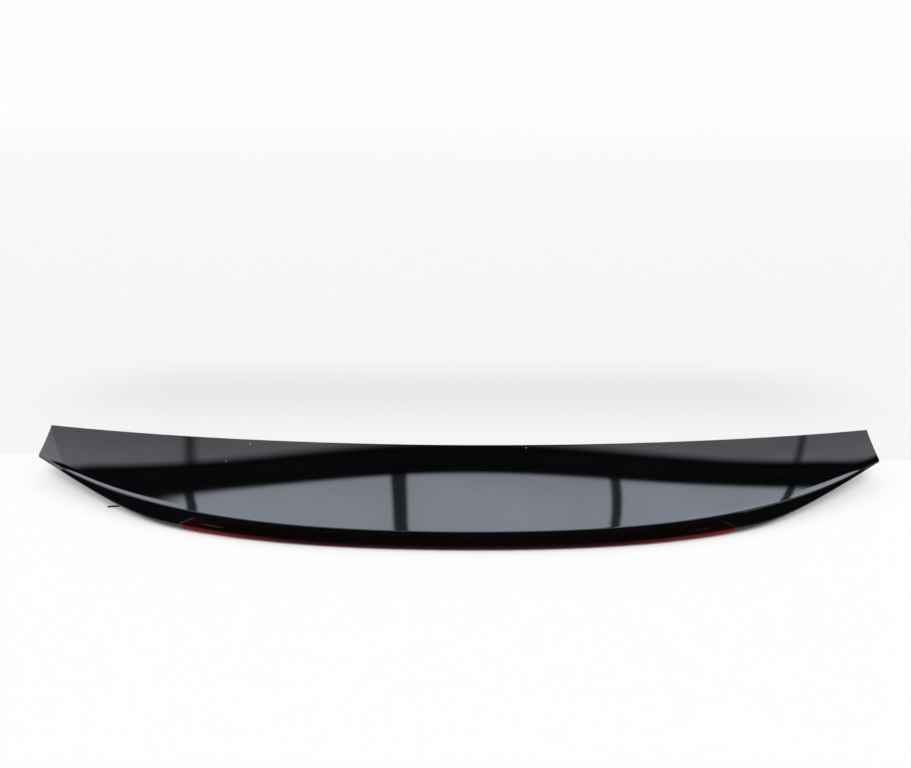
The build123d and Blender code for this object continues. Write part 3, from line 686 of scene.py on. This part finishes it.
# where painted light and painted highlights show in it, in the same shares
lensPaintedLight = {
    "roll": (0.46, 0.62), "least": 0.03, "towardsEnds": (0.42, 0.97),
    "foot": (0.52, 0.80), "footPaintedLight": 0.62, "face": (0.87, 0.95), "facePaintedLight": 0.045,
    "endEdge": (0.992, 0.998), "endFade": (0.5, 0.7), "outline": 0.08,
    "paintedStreak": 0.09, "streakAt": 0.26, "streakWidth": 0.022,
    "streakFrom": (0.84, 0.87), "streakTo": (0.91, 0.94),
    "turnsFaint": (-0.2, 0.2), "rightShare": 0.3,
}


def makeLens():
    # band down the face and round the roll, its edges eased by a quarter round, closed behind at its wall
    foot = np.radians(lamp["foot"])
    near, end = np.array(lensGrid["edgeRows"]), np.array(lensGrid["endColumns"])
    inside = np.linspace(lensGrid["firstRow"], 1 - lensGrid["firstRow"], lensGrid["rows"])
    t = np.concatenate([near, inside, 1 - near[::-1]])[:, None]
    middle = np.linspace(-lensGrid["lastColumn"], lensGrid["lastColumn"], lensGrid["columns"])
    xi = np.concatenate([-end[::-1], middle, end])[None, :]

    def along(s, depth):
        start = lamp["lip"] + lamp["gap"]
        return rearPath(s, start + (rollFoot(s, foot) - start) * t, depth)

    def eased(distance):
        left = np.clip(lamp["edge"] - distance, 0.0, lamp["edge"])
        return lamp["edge"] - np.sqrt(lamp["edge"] ** 2 - left ** 2)

    sheets = []
    for inner in (False, True):
        depth = lamp["wall"] if inner else 0.0
        reach = lampEnd(lambda s: along(s, depth), t.shape, 0.0)
        x = xi * reach
        s = x / form["half"]
        length = rollFoot(s, foot) - lamp["lip"]
        edge = np.minimum(np.minimum(t, 1 - t) * length, (1 - np.abs(xi)) * reach)
        y, z = along(s, lamp["wall"] if inner else eased(edge))
        sheets.append(np.stack([x, y, z], axis=-1))
    index = np.arange(sheets[0][..., 0].size).reshape(sheets[0].shape[:2])
    behind = index + index.size
    rims = [np.stack([index[0], behind[0]]), np.stack([index[-1], behind[-1]])]
    rims += [np.stack([index[:, 0], behind[:, 0]]), np.stack([index[:, -1], behind[:, -1]])]
    faces = [gridFaces(a).reshape(-1, 4) for a in (index, behind, *rims)]
    side = np.abs(xi)
    # painted light: red light seen through the roll, stronger towards the ends, along the foot and on the
    # face near the ends, kept in the rim attribute
    paintedEndLight = lensPaintedLight["least"] + (1 - lensPaintedLight["least"]) * ramp(side, *lensPaintedLight["towardsEnds"])
    paintedLightSide = 1 - (1 - lensPaintedLight["rightShare"]) * ramp(xi, *lensPaintedLight["turnsFaint"])  # painted light and highlights fainter at the right end, where less light falls
    rim = ramp(t, *lensPaintedLight["roll"]) * paintedEndLight
    rim = np.maximum(rim, lensPaintedLight["footPaintedLight"] * ramp(t, *lensPaintedLight["foot"]))
    rim = np.maximum(rim, lensPaintedLight["facePaintedLight"] * paintedLightSide * ramp(side, *lensPaintedLight["face"]))
    # painted highlights: a pale outline round the pointed ends and a short streak near them
    outline = ramp(side, *lensPaintedLight["endEdge"]) * (1 - ramp(t, *lensPaintedLight["endFade"]))
    line = np.exp(-((t - lensPaintedLight["streakAt"]) / lensPaintedLight["streakWidth"]) ** 2)
    paintedStreak = line * ramp(side, *lensPaintedLight["streakFrom"]) * (1 - ramp(side, *lensPaintedLight["streakTo"]))
    paintedHighlight = paintedLightSide * np.maximum(lensPaintedLight["outline"] * outline, lensPaintedLight["paintedStreak"] * paintedStreak)
    points = np.concatenate([sheet.reshape(-1, 3) for sheet in sheets])
    values = {"rim": np.tile(rim.ravel(), 2), "paintedHighlight": np.tile(paintedHighlight.ravel(), 2)}
    addPiece("brakeLampLens", points, np.concatenate(faces).tolist(), "lens", ["brake_lamp_lens"],
             sharp=lamp["sharpAngle"], values=values)


def turned(radius, height, axes, places):
    # rings of a profile turned round each place's own axis, closed at both ends; radius may vary by angle
    rows, columns = radius.shape
    angle = 2 * np.pi * np.arange(columns) / columns
    z = np.broadcast_to(height, radius.shape)
    local = np.stack([radius * np.cos(angle), radius * np.sin(angle), z], axis=-1)
    points = places[:, None, None, :] + np.einsum("rck,pkj->prcj", local, axes)
    index = np.arange(rows * columns).reshape(rows, columns)
    start = np.arange(len(places)) * index.size
    quads = gridFaces(index, closedColumns=True).reshape(-1, 4)[None] + start[:, None, None]
    caps = np.stack([index[0], index[-1, ::-1]])[None] + start[:, None, None]
    return points.reshape(-1, 3), [*quads.reshape(-1, 4).tolist(), *caps.reshape(-1, columns).tolist()]


# studs: thread on the shank, then the shoulder and flat head that sit in the shell
stud = {
    "radius": 3.0, "pitch": 1.0, "depth": 0.55, "flank": (1.4, 0.2), "point": 0.8, "runOut": (1.2, 0.2),
    "shoulder": 3.6, "shoulderHigh": 6.0, "head": 8.0, "headHigh": 2.4, "ease": 0.25,
    "columns": 40, "perPitch": 10,
}


def makeStuds(name, node):
    # thread: radius less a flat-bottomed triangle wave of height over pitch less the angle in turns
    low, high = (np.array(c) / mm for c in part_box(node))
    headZ = high[2] - stud["headHigh"]
    shankTop = headZ - stud["shoulderHigh"]
    z = np.linspace(0.0, shankTop, int(shankTop / stud["pitch"] * stud["perPitch"]))[:, None]
    turns = np.arange(stud["columns"])[None, :] / stud["columns"]
    steep, flat = stud["flank"]
    groove = np.clip(steep * np.abs(2 * ((z / stud["pitch"] - turns) % 1.0) - 1) - flat, 0.0, 1.0)
    groove = groove * (1 - ramp(z, *(shankTop - c for c in stud["runOut"])))
    shank = np.minimum(stud["radius"] - stud["depth"] * groove, stud["radius"] - stud["point"] + z)
    ease, shoulder, head = stud["ease"], stud["shoulder"], stud["head"]
    collar = np.array([
        (shoulder - ease, shankTop), (shoulder, shankTop + ease), (shoulder, headZ), (head - ease, headZ),
        (head, headZ + ease), (head, high[2] - ease), (head - ease, high[2])])
    radius = np.concatenate([shank, np.repeat(collar[:, :1], stud["columns"], axis=1)])
    height = np.concatenate([z, collar[:, 1:]])
    side = high[0] - head
    places = np.array([(x, (low[1] + high[1]) / 2, 0.0) for x in (-side, side)])
    points, faces = turned(radius, height, np.tile(np.eye(3), (2, 1, 1)), places)
    addPiece(name, points, faces, "stud", [node])


# screws along the front of the shell, heads square out of its underside
screw = {
    "pitch": 100.0, "count": 10, "back": 10.5, "under": 2.8, "gap": 0.15,
    "head": 3.3, "headHigh": 1.8, "rim": 0.6, "ease": 0.1, "domePower": 3, "centre": 0.04,
    "shank": 1.75, "length": 5.85, "point": 0.4, "pointHigh": 1.2,
    "armHalf": 0.42, "armLength": 1.75, "recess": 1.1, "soft": 0.16, "step": 1.0, "columns": 72, "rings": 26,
}


def makeScrews():
    # domed head: height falls with the cube of the radius, less a cross whose arms taper in
    x = (np.arange(screw["count"]) - (screw["count"] - 1) / 2) * screw["pitch"]
    y = leadY(x / form["half"]) - screw["back"]
    step = screw["step"]

    def under(px, py):
        return underZ(px / form["half"], py) - screw["under"]

    across = (under(x + step, y) - under(x - step, y)) / (2 * step)
    along = (under(x, y + step) - under(x, y - step)) / (2 * step)
    out = np.stack([across, along, -np.ones_like(x)], axis=-1)
    out /= np.linalg.norm(out, axis=1)[:, None]
    first = np.stack([np.ones_like(x), np.zeros_like(x), across], axis=-1)
    first /= np.linalg.norm(first, axis=1)[:, None]
    axes = np.stack([first, np.cross(out, first), out], axis=1)
    base, head, ease, shank = screw["gap"], screw["head"], screw["ease"], screw["shank"]
    body = np.array([
        (screw["point"], -screw["length"]), (shank, screw["pointHigh"] - screw["length"]), (shank, base),
        (head - ease, base), (head, base + ease)])
    reach = np.linspace(head, screw["centre"], screw["rings"])[:, None]
    rise = screw["headHigh"] - screw["rim"]
    dome = base + screw["rim"] + rise * (1 - (reach / head) ** screw["domePower"])
    angle = 2 * np.pi * np.arange(screw["columns"])[None, :] / screw["columns"]
    a, b = np.abs(reach * np.cos(angle)), np.abs(reach * np.sin(angle))
    arm = np.clip((screw["armHalf"] - np.minimum(a, b)) / screw["soft"], 0.0, 1.0)
    end = np.clip((screw["armLength"] - np.maximum(a, b)) / (2 * screw["soft"]), 0.0, 1.0)
    cross = screw["recess"] * arm * end
    height = np.concatenate([np.repeat(body[:, 1:], screw["columns"], axis=1), dome - cross])
    radius = np.repeat(np.concatenate([body[:, :1], reach]), screw["columns"], axis=1)
    points, faces = turned(radius, height, axes, np.stack([x, y, under(x, y)], axis=-1))
    addPiece("shellScrews", points, faces, "screw", ["shell_screws"])


makeSkin()
makeLens()
makeLead()
makeStuds("innerStuds", "inner_studs")
makeStuds("outerStuds", "outer_studs")
makeScrews()

# CAD nodes that stay get their finish
nodeFinish = {
    "lower_shell": "shell", "brake_lamp_housing": "housing", "brake_lamp_diffuser": "diffuser",
    "brake_lamp_board": "board", "brake_lamp_diodes": "diode", "brake_lamp_foam": "foam",
    "brake_lamp_screws": "screw", "lead_grommet": "rubber", "lamp_inner_lead": "sheath", "stud_seals": "foam",
    "push_clips": "clip", "front_seal": "rubber", "tip_tapes": "tape", "rubber_buffers": "rubber",
}
for node, finish in nodeFinish.items():
    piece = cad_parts[node]
    piece.data.materials.clear()
    piece.data.materials.append(finishes[finish])
print("CAD nodes finished:", len(nodeFinish))

# floor: pale, a little duller beyond a line, with a painted soft shadow in a patch behind the part; metres
# and grey levels
stage = {
    "floorHalf": 40.0, "floorUnder": 0.0002, "near": 0.925, "far": 0.857, "distant": 0.922, "distantAt": 15.0,
    "farLine": 0.156, "lineSoft": 0.001,
    "paintedShadow": 0.758, "paintedShadowAt": 0.44, "paintedShadowReach": 0.23, "paintedShadowSpan": (0.5, 0.86),
}


def flatSheet(name, corners, material):
    mesh = bpy.data.meshes.new(name)
    mesh.from_pydata(corners, [], [tuple(range(len(corners)))])
    mesh.materials.append(material)
    sheet = bpy.data.objects.new(name, mesh)
    bpy.context.collection.objects.link(sheet)
    return sheet


def floorFinish():
    f = Finish("paleFloor")
    x, y, _ = f.axes()
    beyond = f.spread(y, 0.0, 1.0, stage["farLine"] - stage["lineSoft"], stage["farLine"] + stage["lineSoft"])
    away = f.spread(y, 0.0, 1.0, 0.0, stage["distantAt"])
    backdrop = f.blend(away, (stage["far"],) * 3, (stage["distant"],) * 3)
    # painted shadow: a soft darker patch on the floor behind the part
    gap = f.math("ABSOLUTE", f.math("SUBTRACT", y, stage["paintedShadowAt"]), 0.0)
    paintedShadowAlong = f.spread(gap, 1.0, 0.0, 0.0, stage["paintedShadowReach"], soft=True)
    paintedShadowAcross = f.spread(f.math("ABSOLUTE", x, 0.0), 1.0, 0.0, *stage["paintedShadowSpan"], soft=True)
    backdrop = f.blend(f.math("MULTIPLY", paintedShadowAlong, paintedShadowAcross), backdrop, (stage["paintedShadow"],) * 3)
    f.colour(f.blend(beyond, (stage["near"],) * 3, backdrop))
    return f.put(Roughness=0.9, Specular_IOR_Level=0.0).material


half, under = stage["floorHalf"], -stage["floorUnder"]
floorCorners = [(-half, -half, under), (half, -half, under), (half, half, under), (-half, half, under)]
flatSheet("floor", floorCorners, floorFinish())

# ceiling panels in metres: two long rows, crossed by dark bars that run away from the viewer, and one at
# the left end; a bar is its middle, half width and lean, edge is where a row begins, from dark to full
ceiling = {
    "height": 2.3, "half": 4.6, "slant": -0.05, "patches": 2.2, "patchy": 0.14,
    "low": {
        "reach": (1.7, 3.9), "line": 1.865, "edge": (1.825, 1.91), "fade": (0.74, 1.9, 3.2),
        "tone": (0.79, 0.87, 1.0), "strength": 4.75, "barSoft": 0.013, "barLeft": 0.06,
        "bars": (
            (-1.468, 0.036, -0.08), (-0.279, 0.039, -0.06), (0.758, 0.029, 0.222), (1.958, 0.044, -0.10),
        ),
    },
    "high": {
        "reach": (-0.4, 1.5), "line": 1.35, "edge": (1.43, 1.22), "fade": (1.0, 0.0, 1.0),
        "tone": (0.89, 0.92, 1.0), "strength": 1.62, "barSoft": 0.045, "barLeft": 0.22,
        "bars": ((-1.335, 0.040, -0.2), (1.893, 0.040, 0.066)),
    },
    "end": {
        "corners": ((-12.0, -0.4), (-3.165, -0.4), (-2.74, 1.43), (-12.0, 1.1)), "under": 0.02,
        "tone": (0.88, 0.90, 1.0), "strength": 2.25,
    },
}
# walls left and right: distance, reach in y, height from dark to full and top, all in metres
walls = {
    "left": {
        "x": -9.0, "reach": (-3.0, 1.3), "rise": (1.2, 2.6, 5.0),
        "tone": (0.88, 0.90, 1.0), "strength": 1.2,
    },
    "leftLow": {
        "x": -9.1, "reach": (-0.17, 2.5), "rise": (-0.2, -0.1, 1.1),
        "tone": (0.90, 0.92, 1.0), "strength": 1.9,
    },
    "right": {
        "x": 9.0, "reach": (-6.0, 0.0), "rise": (1.6, 2.8, 5.0),
        "tone": (0.88, 0.90, 1.0), "strength": 1.8,
    },
}


def panelFinish(name, part):
    f = Finish(name)
    f.put(Base_Color=(0.0, 0.0, 0.0, 1.0), Specular_IOR_Level=0.0, Emission_Color=(*part["tone"], 1.0))
    least, most = (part["strength"] * (1 + c * ceiling["patchy"]) for c in (-1, 1))
    light = f.spread(f.noise(ceiling["patches"]), least, most)
    x, y, z = f.axes()
    if "rise" in part:
        start, full, _ = part["rise"]
        light = f.math("MULTIPLY", light, f.spread(z, 0.0, 1.0, start, full, soft=True))
    if "bars" in part:
        away = f.math("SUBTRACT", y, f.math("MULTIPLY", x, ceiling["slant"]))
        light = f.math("MULTIPLY", light, f.spread(away, 0.0, 1.0, *part["edge"], soft=True))
        light = f.math("MULTIPLY", light, f.spread(away, part["fade"][0], 1.0, *part["fade"][1:]))
    for middle, halfWidth, lean in part.get("bars", ()):
        line = f.math("ADD", f.math("MULTIPLY", f.math("SUBTRACT", away, part["line"]), lean), middle)
        gap = f.math("ABSOLUTE", f.math("SUBTRACT", x, line), 0.0)
        start, full = halfWidth - part["barSoft"], halfWidth + part["barSoft"]
        light = f.math("MULTIPLY", light, f.spread(gap, part["barLeft"], 1.0, start, full, soft=True))
    f.wire(light, f.shader.inputs["Emission Strength"])
    return f.material


def glossSheet(name, corners, part):  # a sheet that only shows in the gloss
    sheet = flatSheet(name, corners, panelFinish(name, part))
    sheet.visible_camera = False
    sheet.visible_diffuse = False
    sheet.visible_shadow = False


def makePanels():
    side, slant = ceiling["half"], ceiling["slant"]
    for row in ("low", "high", "end"):
        part = ceiling[row]
        if "reach" in part:
            near, far = part["reach"]
            turns = ((-side, near), (side, near), (side, far), (-side, far))
            corners = [(x, y + slant * x) for x, y in turns]
        else:
            corners = part["corners"]
        height = ceiling["height"] - part.get("under", 0.0)
        glossSheet(f"{row}Panel", [(x, y, height) for x, y in corners], part)
    for name, part in walls.items():
        (near, far), (low, _, high) = part["reach"], part["rise"]
        turns = ((near, low), (far, low), (far, high), (near, high))
        glossSheet(f"{name}Wall", [(part["x"], y, z) for y, z in turns], part)
    print("panels hung")


makePanels()

# each sun: strength, tilt towards the viewer and width, in degrees
room = {
    "suns": {"viewerSun": (2.72, 45.0, 45.0), "overheadSun": (1.27, 15.0, 120.0)},
    "ambient": 0.07, "dark": (0.012, 0.012, 0.014), "pale": 0.985, "horizonSoft": 0.02,
}


def makeSuns():  # wide and soft, one from above the viewer and one overhead
    for name, (strength, tilt, spread) in room["suns"].items():
        data = bpy.data.lights.new(name, "SUN")
        data.energy = strength
        data.angle = np.radians(spread)
        sun = bpy.data.objects.new(name, data)
        sun.rotation_euler.x = np.radians(tilt)
        sun.visible_glossy = False
        bpy.context.collection.objects.link(sun)


makeSuns()


def makeRoom():  # pale to the camera, faint even light, and a dark hall above the horizon in the gloss
    world = bpy.data.worlds.new("room")
    world.use_nodes = True
    nodes, links = world.node_tree.nodes, world.node_tree.links
    path = nodes.new("ShaderNodeLightPath")
    split = nodes.new("ShaderNodeSeparateXYZ")
    links.new(nodes.new("ShaderNodeTexCoord").outputs["Generated"], split.inputs["Vector"])
    above = nodes.new("ShaderNodeMapRange")
    above.inputs["From Min"].default_value = -room["horizonSoft"]
    above.inputs["From Max"].default_value = room["horizonSoft"]
    links.new(split.outputs["Z"], above.inputs["Value"])
    inGloss = nodes.new("ShaderNodeMath")
    inGloss.operation = "MULTIPLY"
    links.new(path.outputs["Is Glossy Ray"], inGloss.inputs[0])
    links.new(above.outputs["Result"], inGloss.inputs[1])
    tone = (room["ambient"],) * 3
    toCamera = path.outputs["Is Camera Ray"]
    for share, colour in ((inGloss.outputs["Value"], room["dark"]), (toCamera, (room["pale"],) * 3)):
        mix = nodes.new("ShaderNodeMix")
        mix.data_type = "RGBA"
        links.new(share, mix.inputs["Factor"])
        if isinstance(tone, tuple):
            mix.inputs[6].default_value = (*tone, 1.0)
        else:
            links.new(tone, mix.inputs[6])
        mix.inputs[7].default_value = (*colour, 1.0)
        tone = mix.outputs[2]
    links.new(tone, nodes["Background"].inputs["Color"])
    bpy.context.scene.world = world


makeRoom()
bpy.context.scene.view_settings.view_transform = "Standard"
print("stage set")
